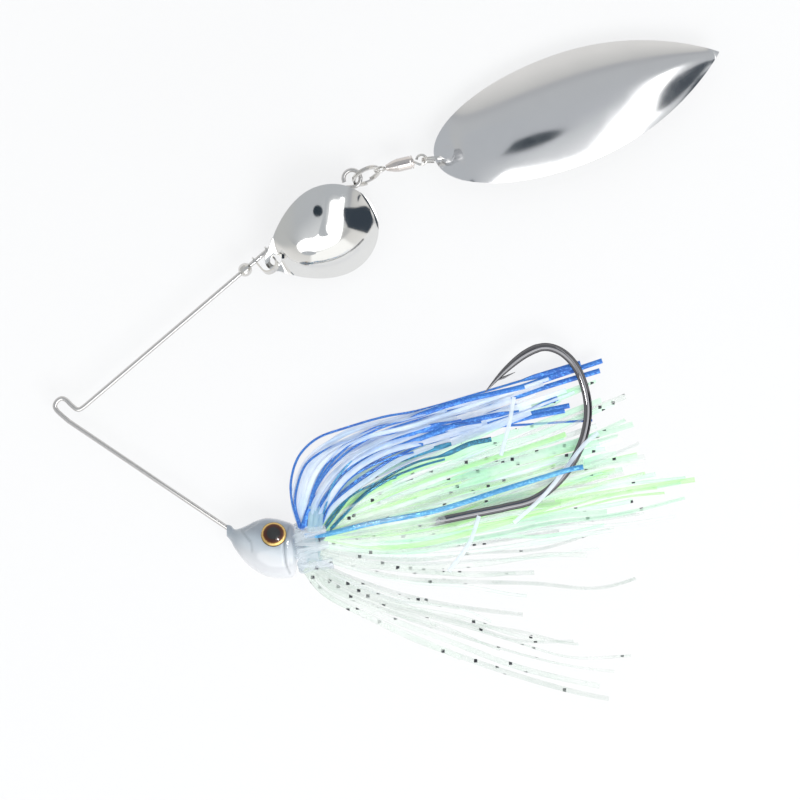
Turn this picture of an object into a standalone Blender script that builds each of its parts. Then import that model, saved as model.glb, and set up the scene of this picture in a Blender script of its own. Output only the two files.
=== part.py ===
"""Spinnerbait: a fishing lure on a bent wire, with a cast head, a single hook, a silicone skirt,
a Colorado blade on a clevis and a willow-leaf blade behind a ball-bearing swivel.

Every number here is in millimetres or degrees. Meshes are scaled to metres as they are made.
The origin is the line tie, the R-shaped bend of the wire. The wire and the hook lie in the plane z = 0.
"""

import math

import bmesh
import bpy
from mathutils import Matrix, Vector

MM = 0.001

# Driving dimensions
WIRE_D = 0.9
HOOK_D = 1.65
ARM_ANGLE = 40.47
BLADE_THICKNESS = 0.5
BEAD_D = 2.8
BEAD_COUNT = 5
CUT_GAP = 0.25
THIN_GAP = 0.1

# Wire frame
TIE_BEND = [
    (1.54, -3.24), (0.38, -2.24), (-0.6, -1.35), (-1.12, -0.62), (-1.2, 0.0), (-0.85, 0.72), (-0.2, 1.22),
    (0.38, 1.3), (1.08, 0.96), (1.8, 0.24), (2.5, -0.4), (3.14, -0.84), (3.8, -0.84), (4.66, -0.3),
]
ARM_FOOT = (3.2, -1.63)
END_LOOP_RADIUS = 1.7
UPPER_ARM_LENGTH = 72.3
HEAD_CORNER = (40.2, -29.23)
HOOK_EYE = (40.4, -30.2)
HOOK_EYE_RADIUS = 1.5
SHANK_ANGLE = 11.3
BARB_AT = (90.7, 6.55)
BARB_ANGLE = 205.0
BARB_PROFILE = [(0, 0.02), (0.4, 0.3), (2.3, 0.42), (2.8, 0.3)]

# Clevis and front blade, measured along the upper arm from its foot
LOWER_BEAD_AT = 44.2
CLEVIS_AT = 46.87
BOW_RADIUS = 1.63
BOW_HEIGHT = 3.4
BOW_LEAN = 38.0
STRIP = 0.35
STRIP_HALF_WIDTH = 0.55
EAR_RADIUS = 0.95
FIRST_SPACER_AT = 52.67
SPACER_PITCH = 3.2
COLORADO_LENGTH = 24.3
COLORADO_HALF_WIDTH = 10.1
COLORADO_DEPTH = 4.2
COLORADO_ANGLE = 28.0
COLORADO_TILT = 28.0
COLORADO_HOLE_AT = 2.2
COLORADO_HOLE_RADIUS = 1.2
COLORADO_FLAT = 3.4

# Split rings, swivel and rear blade
RING_RADIUS = 2.8
RING_WIDTH = 0.45
RING_LAYER = 0.34
RING_PITCH = 0.42
RING_TURNS = 1.95
FRONT_RING_FAR = (63.6, 47.07)
FRONT_RING_ANGLE = 25.0
FRONT_RING_TILT = 22.0
SWIVEL_TIP = (65.0, 47.4)
SWIVEL_ANGLE = 13.0
SWIVEL_RADIUS = 1.35
SWIVEL_BORE = 1.1
EYE_RADIUS = 1.0
EYE_WIRE = 0.5
FRONT_EYE_ROLL = -60.0
BALL_COUNT = 6
BALL_D = 0.55
BALL_CIRCLE = 0.68
BALL_AT = 3.35
REAR_EYE_AT = 7.29
REAR_RING_NEAR = (72.25, 49.05)
REAR_RING_ANGLE = 2.6
WILLOW_BASE = (74.85, 48.95)
WILLOW_ANGLE = 20.9
WILLOW_TILT = -10.0
WILLOW_LENGTH = 60.8
WILLOW_HALF_WIDTH = 11.6
WILLOW_DEPTH = 3.2
WILLOW_HOLE_AT = 2.6
WILLOW_HOLE_RADIUS = 1.4
WILLOW_FLAT = 4.2

# Head, eyes and skirt
EYE_AT = (42.7, -25.7, 4.35)
EYE_TILT = 24.0
EYE_DISC_RADIUS = 2.55
STEM_RADIUS = 2.3
STEM_PROFILE = [(5.0, STEM_RADIUS), (11.6, STEM_RADIUS), (11.9, 2.75), (12.7, 2.6), (13.0, 2.2)]
COLLAR_AT = 50.2
COLLAR_LENGTH = 3.2
COLLAR_RADIUS = 3.6
COLLAR_EDGE = 0.5
SKIRT_INNER = 2.2
SKIRT_OUTER = 4.8

UP = Vector((0, 0, 1))


def direction(degrees):
    """The unit vector at an angle in the plane of the wire."""
    angle = math.radians(degrees)
    return Vector((math.cos(angle), math.sin(angle), 0))


def flat(point):
    """A point of the wire's plane, as a vector."""
    return Vector((point[0], point[1], 0))


ARM = direction(ARM_ANGLE)
ARM_SIDE = ARM.cross(UP)
SHANK = direction(SHANK_ANGLE)
END_LOOP = flat(ARM_FOOT) + ARM * UPPER_ARM_LENGTH


def on_arm(distance):
    """The point of the upper arm at a distance from its foot."""
    return flat(ARM_FOOT) + ARM * distance


def axes_at(origin, x_axis, z_axis):
    """A matrix in millimetres that puts a piece's X and Z along two given directions."""
    x = x_axis.normalized()
    y = z_axis.cross(x).normalized()
    turned = Matrix((x, y, x.cross(y))).transposed().to_4x4()
    return Matrix.Translation(origin) @ turned


# Paths


def arc(centre, radius, start, end, steps, x_axis=Vector((1, 0, 0)), y_axis=Vector((0, 1, 0))):
    """Points on an arc between two angles, both ends included."""
    points = []
    for step in range(steps + 1):
        angle = math.radians(start + (end - start) * step / steps)
        points.append(centre + radius * (math.cos(angle) * x_axis + math.sin(angle) * y_axis))
    return points


def smooth(points, per_span):
    """A Catmull-Rom curve through points."""
    ends = [points[0] * 2 - points[1], *points, points[-1] * 2 - points[-2]]
    curve = []
    for a, b, c, d in zip(ends, ends[1:], ends[2:], ends[3:]):
        for step in range(per_span):
            t = step / per_span
            bend = a * 2 - b * 5 + c * 4 - d
            twist = b * 3 - a - c * 3 + d
            curve.append((b * 2 + (c - a) * t + bend * t * t + twist * t**3) / 2)
    return curve + [points[-1]]


def eye_path(centre, along, side, radius, wire):
    """A wire end: a post that arrives along a direction kinks aside and bends round into an eye."""
    reach = radius + 1.4 * wire
    lean = math.degrees(math.asin(radius / reach))
    room = math.degrees(math.acos(max(-1.0, 1 - 1.25 * wire / radius)))
    kink = centre - along * reach
    loop = arc(centre, radius, -90 - lean, 270 - lean - room, 18, along, side)
    return [kink, *loop]


# Meshes


def closed_mesh(rows, ends_capped=True):
    """A bmesh skinned over rows of points, where a row of one point is a pole."""
    bm = bmesh.new()
    rings = [[bm.verts.new(point) for point in row] for row in rows]
    for low, high in zip(rings, rings[1:]):
        count = max(len(low), len(high))
        for k in range(count):
            after = (k + 1) % count
            corners = [low[k % len(low)], low[after % len(low)], high[after % len(high)], high[k % len(high)]]
            bm.faces.new(dict.fromkeys(corners))
    if ends_capped:
        for ring in (rings[0], rings[-1]):
            if len(ring) > 2:
                bm.faces.new(ring)
    bmesh.ops.recalc_face_normals(bm, faces=bm.faces)
    return bm


def tube(path, radii, sides=8):
    """A round wire along a path, with one radius or one for each point."""
    if not isinstance(radii, (list, tuple)):
        radii = [radii] * len(path)
    rows = []
    side = None
    for k, point in enumerate(path):
        tangent = (path[min(k + 1, len(path) - 1)] - path[max(k - 1, 0)]).normalized()
        if side is None:
            side = tangent.orthogonal().normalized()
        side = (side - tangent * side.dot(tangent)).normalized()
        other = tangent.cross(side)
        rows.append(arc(point, radii[k], 0, 360, sides, side, other)[:-1])
    return closed_mesh(rows)


def strip(path, normal, half_widths, thickness):
    """A flat strip along a path that stays in the plane square to normal."""
    rows = []
    for k, point in enumerate(path):
        tangent = (path[min(k + 1, len(path) - 1)] - path[max(k - 1, 0)]).normalized()
        across = normal.cross(tangent).normalized() * thickness / 2
        wide = normal * half_widths[k]
        rows.append([point + across + wide, point - across + wide, point - across - wide, point + across - wide])
    return closed_mesh(rows)


def turned(profile, steps, closed=False):
    """A solid turned about X from (x, radius) points. A closed profile makes a ring."""
    rows = []
    for x, radius in profile:
        centre = Vector((x, 0, 0))
        row = arc(centre, radius, 0, 360, steps, Vector((0, 1, 0)), UP)[:-1]
        rows.append(row if radius else [centre])
    if not closed:
        return closed_mesh(rows)
    bm = closed_mesh(rows + [rows[0]], ends_capped=False)
    bmesh.ops.remove_doubles(bm, verts=bm.verts, dist=1e-5)
    bmesh.ops.recalc_face_normals(bm, faces=bm.faces)
    return bm


# Objects


def material(name, colour, roughness, metallic):
    """A Principled material for one piece."""
    made = bpy.data.materials.new(name)
    made.use_nodes = True
    shader = made.node_tree.nodes["Principled BSDF"]
    shader.inputs["Base Color"].default_value = (*colour, 1)
    shader.inputs["Roughness"].default_value = roughness
    shader.inputs["Metallic"].default_value = metallic
    return made


LOOKS = {
    "nickel": ((0.78, 0.77, 0.75), 0.12, 1.0),
    "steel": ((0.62, 0.62, 0.63), 0.22, 1.0),
    "black_nickel": ((0.16, 0.16, 0.18), 0.2, 1.0),
    "paint": ((0.88, 0.89, 0.92), 0.25, 0.0),
    "foil": ((0.72, 0.5, 0.16), 0.3, 1.0),
    "resin": ((0.3, 0.18, 0.14), 0.08, 0.0),
    "rubber": ((0.85, 0.9, 0.95), 0.4, 0.0),
    "blue": ((0.05, 0.25, 0.75), 0.45, 0.0),
    "chartreuse": ((0.68, 0.95, 0.52), 0.45, 0.0),
    "pearl": ((0.88, 0.9, 0.95), 0.45, 0.0),
    "clear": ((0.9, 0.93, 0.9), 0.45, 0.0),
}


def place(name, bm, look, origin=Vector()):
    """An object from a bmesh in millimetres, with its own origin and its own material."""
    bmesh.ops.translate(bm, verts=bm.verts, vec=-origin)
    bmesh.ops.scale(bm, verts=bm.verts, vec=(MM, MM, MM))
    mesh = bpy.data.meshes.new(name)
    bm.to_mesh(mesh)
    bm.free()
    mesh.shade_smooth()
    mesh.set_sharp_from_angle(angle=math.radians(40))
    mesh.materials.append(material(name, *LOOKS[look]))
    piece = bpy.data.objects.new(name, mesh)
    piece.location = origin * MM
    bpy.context.collection.objects.link(piece)
    return piece


def moved(bm, matrix):
    """The same bmesh, carried to a place."""
    bmesh.ops.transform(bm, matrix=matrix, verts=bm.verts)
    return bm


def boolean(piece, bm, operation):
    """Cuts a bmesh from a piece or joins it on, with a hidden guide object."""
    guide = place(f"{piece.name}_{operation.lower()}_{len(piece.modifiers)}", bm, "steel")
    guide.hide_render = True
    guide.display_type = "WIRE"
    modifier = piece.modifiers.new(operation.title(), "BOOLEAN")
    modifier.operation = operation
    modifier.object = guide


# Wire frame, hook and head


def wire_root():
    """The wire's end in the head: round the back of the hook's eye and out to the line of the lower arm."""
    ring_side = flat(HOOK_EYE) - SHANK * HOOK_EYE_RADIUS
    wrap = arc(ring_side, HOOK_EYE_RADIUS, SHANK_ANGLE - 165, SHANK_ANGLE, 10)
    return [*wrap, flat(HEAD_CORNER)]


def wire_path():
    """The whole wire: out of the head, up the lower arm, over the line tie, and along the upper arm."""
    tie = smooth([flat(point) for point in TIE_BEND], 2)
    loop = eye_path(END_LOOP, ARM, ARM_SIDE * -1, END_LOOP_RADIUS, WIRE_D)
    return [*wire_root(), *tie, *loop]


def hook_root():
    """The hook's end in the head: an eye square to the wire's plane, and the start of the shank."""
    eye = eye_path(flat(HOOK_EYE), SHANK * -1, UP, HOOK_EYE_RADIUS, HOOK_D)
    return [*reversed(eye), flat(HOOK_EYE) + SHANK * 6]


def hook_path():
    """The hook's centreline: its eye, a straight shank and a wide round bend."""
    bend = [
        (88.0, -20.7), (94.8, -18.8), (100.4, -14.2), (104.2, -7.5), (105.4, -0.5), (103.8, 6.1),
        (100.8, 10.1), (97.0, 11.6), (93.2, 10.4), (89.0, 7.1), (84.8, 2.6),
    ]
    curve = smooth([flat(point) for point in bend], 4)
    return [*hook_root(), flat(HOOK_EYE) + SHANK * 30, *curve]


def make_wire_frame():
    """The spring-steel wire that joins the head, the line tie and the blades."""
    return place("wire_frame", tube(wire_path(), WIRE_D / 2, 10), "steel")


def make_hook():
    """The hook: a tapered point and a barb cut on its inner side."""
    path = hook_path()
    taper = 6
    radii = [HOOK_D / 2] * (len(path) - taper)
    radii += [HOOK_D / 2 * (1 - (k / taper) ** 2) + 0.08 for k in range(1, taper + 1)]
    piece = place("hook", tube(path, radii, 10), "black_nickel")
    barb = turned(BARB_PROFILE, 8)
    boolean(piece, moved(barb, axes_at(flat(BARB_AT), direction(BARB_ANGLE), UP)), "UNION")
    return piece


def make_head():
    """The cast head: a deep shad-shaped body, and a stem behind it that carries the skirt."""
    stations = [
        # x, top, bottom, half thickness
        (33.2, -23.9, -26.3, 1.0),
        (34.0, -24.1, -27.3, 1.5),
        (34.9, -24.8, -28.9, 2.4),
        (36.8, -24.2, -31.3, 3.8),
        (38.8, -23.2, -33.0, 4.6),
        (40.8, -22.6, -34.1, 5.0),
        (42.8, -22.7, -34.6, 5.2),
        (44.8, -23.2, -34.7, 5.1),
        (46.4, -23.9, -34.4, 4.7),
        (47.2, -25.2, -33.2, 3.7),
    ]
    rows = []
    for x, top, bottom, half in smooth([Vector(station) for station in stations], 2):
        row = []
        for k in range(20):
            angle = math.radians(k * 18)
            across = math.copysign(abs(math.cos(angle)) ** 0.82, math.cos(angle))
            rise = math.copysign(abs(math.sin(angle)) ** 0.82, math.sin(angle))
            row.append(Vector((x, (top + bottom) / 2 + rise * (top - bottom) / 2, across * half)))
        rows.append(row)
    piece = place("head_casting", closed_mesh(rows), "paint")
    boolean(piece, moved(turned(STEM_PROFILE, 20), axes_at(flat(HOOK_EYE), SHANK, UP)), "UNION")
    shank = [*hook_root(), flat(HOOK_EYE) + SHANK * 30]
    boolean(piece, tube(shank, HOOK_D / 2 + CUT_GAP, 10), "DIFFERENCE")
    arm = [*wire_root(), flat(TIE_BEND[0])]
    boolean(piece, tube(arm, WIRE_D / 2 + CUT_GAP, 10), "DIFFERENCE")
    for side in (1, -1):
        pocket = turned([(-0.35, EYE_DISC_RADIUS + CUT_GAP), (3.0, EYE_DISC_RADIUS + CUT_GAP)], 24)
        boolean(piece, moved(pocket, eye_axes(side)), "DIFFERENCE")
    return piece


def eye_axes(side):
    """The place of an eye: X points out of the head, tilted a little towards the back of the fish."""
    tilt = math.radians(EYE_TILT)
    out = Vector((0, math.sin(tilt), side * math.cos(tilt)))
    return axes_at(Vector((EYE_AT[0], EYE_AT[1], side * EYE_AT[2])), out, Vector((1, 0, 0)))


def make_eyes():
    """A printed foil disc and a clear domed lens in the pocket on each side."""
    for name, side in (("near", 1), ("far", -1)):
        foil = turned([(-0.25, EYE_DISC_RADIUS), (0.0, EYE_DISC_RADIUS)], 24)
        place(f"eye_foil_{name}", moved(foil, eye_axes(side)), "foil")
        radius = EYE_DISC_RADIUS
        lens = [(0.1, radius), (0.25, radius), (0.55, radius * 0.82), (0.75, radius * 0.5), (0.82, 0)]
        place(f"eye_lens_{name}", moved(turned(lens, 24), eye_axes(side)), "resin")


# Skirt


def make_collar():
    """The elastic band that holds the strands on the head's stem."""
    inner = STEM_RADIUS + CUT_GAP
    half = COLLAR_LENGTH / 2
    shoulder = COLLAR_RADIUS - COLLAR_EDGE
    profile = [(-half, inner), (-half, shoulder), (-half + COLLAR_EDGE, COLLAR_RADIUS)]
    profile += [(half - COLLAR_EDGE, COLLAR_RADIUS), (half, shoulder), (half, inner)]
    centre = flat(HOOK_EYE) + SHANK * ((COLLAR_AT - HOOK_EYE[0]) / SHANK.x)
    place("skirt_collar", moved(turned(profile, 20, closed=True), axes_at(centre, SHANK, UP)), "rubber")


SKIRT_FANS = {
    "blue": [
        (48.4, -24.0), (46.6, -21.0), (46.2, -17.5), (47.6, -12.0), (51.5, -8.0), (57.5, -4.4),
        (64.0, -1.8), (72.0, 0.4), (84.0, 3.4), (92.0, 5.6), (108.6, 9.2), (108.6, 5.6),
        (100.0, -1.2), (84.0, -6.4), (68.0, -9.6), (58.0, -14.6), (53.0, -20.0), (51.6, -23.6),
    ],
    "chartreuse": [
        (54.6, -24.6), (54.0, -20.6), (58.6, -15.0), (68.2, -10.2), (84.2, -7.0), (100.4, -1.8),
        (109.0, 4.8), (111.0, -2.0), (118.0, -12.0), (126.8, -14.6), (126.0, -16.6),
        (112.0, -17.0), (96.0, -19.6), (76.0, -21.6), (62.0, -23.6),
    ],
    "pearl": [
        (54.6, -25.2), (62.0, -24.2), (76.0, -22.2), (96.0, -20.2), (112.0, -17.6), (126.0, -17.2),
        (124.4, -24.8), (120.0, -34.0), (116.4, -45.0), (100.0, -42.0), (80.0, -36.6), (62.0, -31.0),
        (54.6, -29.0),
    ],
    "clear": [
        (48.0, -33.0), (51.6, -32.4), (54.6, -29.8), (62.0, -31.6), (80.0, -37.2), (100.0, -42.6),
        (116.0, -45.8), (115.2, -62.8), (104.0, -60.0), (88.0, -54.0), (72.0, -45.6), (60.0, -38.0),
    ],
}


def make_skirt():
    """The strands as plain fans of one colour each, on both sides of the hook."""
    for colour, outline in SKIRT_FANS.items():
        for name, low, high in (("near", SKIRT_INNER, SKIRT_OUTER), ("far", -SKIRT_OUTER, -SKIRT_INNER)):
            rows = [[Vector((x, y, z)) for x, y in outline] for z in (low, high)]
            place(f"skirt_{colour}_{name}", closed_mesh(rows), colour)


# Beads, clevis and blades


def make_bead(name, at):
    """A hollow bead threaded on the upper arm."""
    bore = WIRE_D / 2 + THIN_GAP
    radius = BEAD_D / 2
    half = math.sqrt(radius**2 - bore**2)
    profile = [(-half, bore)]
    for k in range(1, 8):
        x = -half * math.cos(math.pi * k / 8)
        profile.append((x, math.sqrt(radius**2 - x**2)))
    profile.append((half, bore))
    place(name, moved(turned(profile, 14, closed=True), axes_at(on_arm(at), ARM, UP)), "nickel", on_arm(at))


def make_beads():
    """One bead below the clevis, and the spacers between the clevis and the end loop."""
    make_bead("lower_bead", LOWER_BEAD_AT)
    for k in range(BEAD_COUNT):
        make_bead(f"spacer_bead_{k + 1}", FIRST_SPACER_AT + k * SPACER_PITCH)


def bow_axes():
    """The clevis's own axes: along the arm, out towards the blade, and square to both."""
    lean = math.radians(BOW_LEAN)
    out = ARM_SIDE * math.cos(lean) + UP * math.sin(lean)
    return out, ARM.cross(out)


def bow_centre():
    """The centre of the clevis's round bow, which the front blade swings about."""
    return on_arm(CLEVIS_AT + BOW_RADIUS) + bow_axes()[0] * BOW_HEIGHT


def make_clevis():
    """A folded strip: two pierced ears on the wire, and a round bow that the blade hangs on."""
    out, across = bow_axes()
    centre = bow_centre()
    steps = [0.0, 0.35, 0.95, 1.55, 1.9, 2.6]
    near = [on_arm(CLEVIS_AT) + out * (step - EAR_RADIUS) for step in steps]
    far = [point + ARM * 2 * BOW_RADIUS for point in reversed(near)]
    bow = arc(centre, BOW_RADIUS, 180, 0, 10, ARM, out)
    ear = [0.3, 0.75, EAR_RADIUS, 0.75, STRIP_HALF_WIDTH, STRIP_HALF_WIDTH]
    widths = ear + [STRIP_HALF_WIDTH] * len(bow) + ear[::-1]
    piece = place("clevis", strip([*near, *bow, *far], across, widths, STRIP), "nickel")
    hole = turned([(-1, WIRE_D / 2 + THIN_GAP), (5, WIRE_D / 2 + THIN_GAP)], 12)
    boolean(piece, moved(hole, axes_at(on_arm(CLEVIS_AT), ARM, UP)), "DIFFERENCE")


def colorado_width(t):
    """Half the width of the front blade at a share of its length: a pear with a round end."""
    middle = 0.6
    if t > middle:
        return COLORADO_HALF_WIDTH * math.sqrt(max(0, 1 - ((t - middle) / (1 - middle)) ** 2))
    wide = COLORADO_HALF_WIDTH * max(0, 1 - ((middle - t) / middle) ** 1.85) ** 0.9
    base_radius = 2.6
    x = min(t * COLORADO_LENGTH, base_radius)
    return max(wide, math.sqrt(base_radius**2 - (base_radius - x) ** 2))


def willow_width(t):
    """Half the width of the rear blade at a share of its length: round at the base, pointed at the tip."""
    middle = 0.456
    if t < middle:
        return WILLOW_HALF_WIDTH * math.sqrt(max(0, 1 - ((middle - t) / middle) ** 2))
    return WILLOW_HALF_WIDTH * max(0, 1 - ((t - middle) / (1 - middle)) ** 2.1) ** 0.93


def blade_mesh(length, width, depth, flat_length, stations, lanes):
    """A cupped sheet: a flat rim and base, with a dome pressed up between its edges."""
    tops = []
    for k in range(stations + 1):
        t = (1 - math.cos(math.pi * k / stations)) / 2
        half = width(t)
        cupped = max(0, min(1, (t * length - flat_length) / (0.98 * length - flat_length)))
        rise = depth * max(0, math.sin(math.pi * cupped**0.85)) ** 0.8
        row = []
        for lane in range(lanes + 1):
            s = -math.cos(math.pi * lane / lanes)
            row.append(Vector((t * length, s * half, rise * (1 - s * s))))
        tops.append(row if 0 < k < stations else [row[0]])
    bm = bmesh.new()
    down = Vector((0, 0, -BLADE_THICKNESS))
    upper = [[bm.verts.new(point) for point in row] for row in tops]
    lower = [[bm.verts.new(point + down) for point in row] for row in tops]
    for sheet in (upper, lower):
        for row, after in zip(sheet, sheet[1:]):
            for lane in range(lanes):
                corners = [row[min(lane, len(row) - 1)], row[min(lane + 1, len(row) - 1)]]
                corners += [after[min(lane + 1, len(after) - 1)], after[min(lane, len(after) - 1)]]
                bm.faces.new(dict.fromkeys(corners))
    for k in range(stations):
        for end in (0, -1):
            bm.faces.new([upper[k][end], upper[k + 1][end], lower[k + 1][end], lower[k][end]])
    bmesh.ops.recalc_face_normals(bm, faces=bm.faces)
    return bm


def make_blade(name, bm, axes, hole_at, hole_radius, pivot):
    """Places a blade so that its hole is on the piece that carries it, and drills the hole."""
    piece = place(name, moved(bm, axes), "nickel", pivot)
    hole = turned([(-2, hole_radius), (2, hole_radius)], 16)
    at = axes @ Vector((hole_at, 0, 0))
    boolean(piece, moved(hole, axes_at(at, axes.to_3x3() @ UP, Vector((1, 0, 0)))), "DIFFERENCE")


def tilted(along, degrees):
    """The way a blade faces when it lies along a direction and leans to its right."""
    return UP * math.cos(math.radians(degrees)) + along.cross(UP) * math.sin(math.radians(degrees))


def make_colorado():
    """The front blade, lying back along the wire over the spacer beads."""
    along = direction(COLORADO_ANGLE)
    hole = bow_centre() + ARM * BOW_RADIUS
    axes = axes_at(hole - along * COLORADO_HOLE_AT, along, tilted(along, COLORADO_TILT))
    bm = blade_mesh(COLORADO_LENGTH, colorado_width, COLORADO_DEPTH, COLORADO_FLAT, 16, 8)
    make_blade("colorado_blade", bm, axes, COLORADO_HOLE_AT, COLORADO_HOLE_RADIUS, bow_centre())


def make_willow():
    """The rear blade, trailing behind the swivel."""
    along = direction(WILLOW_ANGLE)
    axes = axes_at(flat(WILLOW_BASE), along, tilted(along, WILLOW_TILT))
    bm = blade_mesh(WILLOW_LENGTH, willow_width, WILLOW_DEPTH, WILLOW_FLAT, 20, 8)
    pivot = flat(REAR_RING_NEAR) + direction(REAR_RING_ANGLE) * 2 * RING_RADIUS
    make_blade("willow_blade", bm, axes, WILLOW_HOLE_AT, WILLOW_HOLE_RADIUS, pivot)


# Split rings and swivel


def make_split_ring(name, near, along, axis):
    """A ring of two flat turns that lie on each other, from a point on its near side."""
    centre = near + along * RING_RADIUS
    other = axis.cross(along)
    path = []
    steps = 44
    for k in range(steps + 1):
        turns = RING_TURNS * k / steps
        angle = 2 * math.pi * (turns - 0.475 + 0.25)
        layer = axis * (turns - RING_TURNS / 2) * RING_PITCH
        path.append(centre + layer + RING_RADIUS * (math.cos(angle) * along + math.sin(angle) * other))
    rows = []
    for point in path:
        outward = (point - centre - axis * (point - centre).dot(axis)).normalized() * RING_WIDTH / 2
        rise = axis * RING_LAYER / 2
        rows.append([point + outward + rise, point - outward + rise, point - outward - rise, point + outward - rise])
    place(name, closed_mesh(rows), "nickel", near)


def make_rings():
    """The ring on the wire's end loop, and the ring that carries the rear blade."""
    along = direction(FRONT_RING_ANGLE)
    tilt = math.radians(FRONT_RING_TILT)
    axis = along.cross(UP) * math.cos(tilt) + UP * math.sin(tilt)
    make_split_ring("split_ring_front", flat(FRONT_RING_FAR) - along * 2 * RING_RADIUS, along, axis)
    rear = direction(REAR_RING_ANGLE)
    make_split_ring("split_ring_rear", flat(REAR_RING_NEAR), rear, rear.cross(UP))


def swivel_axes():
    """The swivel's own axes: X runs from its tapered tip to its rear eye."""
    return axes_at(flat(SWIVEL_TIP), direction(SWIVEL_ANGLE), UP)


def swivel_wire(eye_at, inner_end, head_radius, roll):
    """An eye with a post, and a rivet head on the post's inner end. It lies along X."""
    toward = math.copysign(1, eye_at - inner_end)
    along = Vector((toward, 0, 0))
    side = Vector((0, math.cos(math.radians(roll)), math.sin(math.radians(roll))))
    path = eye_path(Vector((eye_at, 0, 0)), along, side, EYE_RADIUS, EYE_WIRE)
    head = [Vector((inner_end + toward * x, 0, 0)) for x in (0, 0.35, 0.37)]
    radii = [head_radius, head_radius, EYE_WIRE / 2] + [EYE_WIRE / 2] * len(path)
    return tube([*head, *path], radii, 10)


def make_swivel():
    """A tapered shell with a fixed front eye, and a rear shaft that turns on a ring of balls."""
    axes = swivel_axes()
    tip = flat(SWIVEL_TIP)
    shell = [(0.0, 0.42), (0.0, 0.62), (0.5, 0.78), (1.4, 1.12), (2.4, SWIVEL_RADIUS), (4.9, SWIVEL_RADIUS)]
    shell += [(5.1, 1.28), (5.1, SWIVEL_BORE), (2.5, SWIVEL_BORE), (1.2, 0.68), (0.8, 0.42)]
    place("swivel_shell", moved(turned(shell, 18, closed=True), axes), "nickel", tip)
    cap = [(3.78, 0.4), (3.78, 1.0), (5.2, 1.0), (5.22, 1.38), (5.45, 1.38), (5.7, 0.7), (5.7, 0.4)]
    place("swivel_end_cap", moved(turned(cap, 18, closed=True), axes), "nickel", tip)
    front = swivel_wire(-1.3, 1.7, 0.5, FRONT_EYE_ROLL)
    place("swivel_front_eye", moved(front, axes), "steel", tip)
    rear = swivel_wire(REAR_EYE_AT, 2.55, 0.85, 0)
    place("swivel_rear_eye", moved(rear, axes), "steel", tip)
    for k in range(BALL_COUNT):
        angle = 2 * math.pi * k / BALL_COUNT
        centre = Vector((BALL_AT, BALL_CIRCLE * math.cos(angle), BALL_CIRCLE * math.sin(angle)))
        profile = arc(Vector(), BALL_D / 2, 180, 0, 6)
        ball = turned([(point.x, round(point.y, 6)) for point in profile], 8)
        place(f"bearing_ball_{k + 1}", moved(ball, axes @ Matrix.Translation(centre)), "steel", tip)


def main():
    """Clears the file and builds every piece."""
    for piece in list(bpy.data.objects):
        bpy.data.objects.remove(piece)
    make_wire_frame()
    make_hook()
    make_head()
    make_eyes()
    make_collar()
    make_skirt()
    make_beads()
    make_clevis()
    make_colorado()
    make_rings()
    make_swivel()
    make_willow()


main()
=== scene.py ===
"""Looks for a spinnerbait: a painted head with an epoxy eye, plated blades, wire, hook and silicone skirt.

Lengths are in millimetres and are scaled to metres where a mesh, a light or a camera is made.
The frame's origin is the line tie, and the wire and the hook lie in the plane z = 0.
"""

import math
import random

import bmesh
import bpy
from mathutils import Matrix, Vector


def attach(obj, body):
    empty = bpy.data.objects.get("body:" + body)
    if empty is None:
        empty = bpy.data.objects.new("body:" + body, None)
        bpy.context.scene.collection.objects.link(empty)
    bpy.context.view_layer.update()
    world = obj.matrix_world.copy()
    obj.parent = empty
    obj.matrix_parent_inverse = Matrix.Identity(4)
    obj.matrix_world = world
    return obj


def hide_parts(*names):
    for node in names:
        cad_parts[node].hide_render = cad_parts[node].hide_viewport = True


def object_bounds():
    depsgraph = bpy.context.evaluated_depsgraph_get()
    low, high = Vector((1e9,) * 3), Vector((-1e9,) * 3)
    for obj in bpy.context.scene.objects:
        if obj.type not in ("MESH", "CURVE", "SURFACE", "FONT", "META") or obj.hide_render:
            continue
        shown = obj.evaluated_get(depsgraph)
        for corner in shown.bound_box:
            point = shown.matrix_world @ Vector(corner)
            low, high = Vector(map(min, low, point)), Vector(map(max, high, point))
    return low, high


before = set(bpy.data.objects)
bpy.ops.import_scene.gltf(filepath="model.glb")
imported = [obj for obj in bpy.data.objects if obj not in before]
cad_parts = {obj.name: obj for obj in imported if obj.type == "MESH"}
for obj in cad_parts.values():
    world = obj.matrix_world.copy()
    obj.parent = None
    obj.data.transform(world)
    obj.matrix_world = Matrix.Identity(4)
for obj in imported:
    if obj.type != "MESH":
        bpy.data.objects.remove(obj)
cad_box = [list(corner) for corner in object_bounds()]

MM = 0.001
UP = Vector((0, 0, 1))
FLOOR_Z = cad_box[0][2] / MM - 0.15


# Small geometry helpers


def direction(degrees):
    """The unit vector at an angle in the plane of the wire."""
    angle = math.radians(degrees)
    return Vector((math.cos(angle), math.sin(angle), 0))


def flat(point):
    """A point of the wire's plane, as a vector."""
    return Vector((point[0], point[1], 0))


def axes_at(origin, x_axis, z_axis):
    """A matrix in millimetres that puts a piece's X and Z along two given directions."""
    x = x_axis.normalized()
    y = z_axis.cross(x).normalized()
    turned_axes = Matrix((x, y, x.cross(y))).transposed().to_4x4()
    return Matrix.Translation(origin) @ turned_axes


def arc(centre, radius, start, end, steps, x_axis=Vector((1, 0, 0)), y_axis=Vector((0, 1, 0))):
    """Points on an arc between two angles, both ends included."""
    points = []
    for step in range(steps + 1):
        angle = math.radians(start + (end - start) * step / steps)
        points.append(centre + radius * (math.cos(angle) * x_axis + math.sin(angle) * y_axis))
    return points


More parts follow.
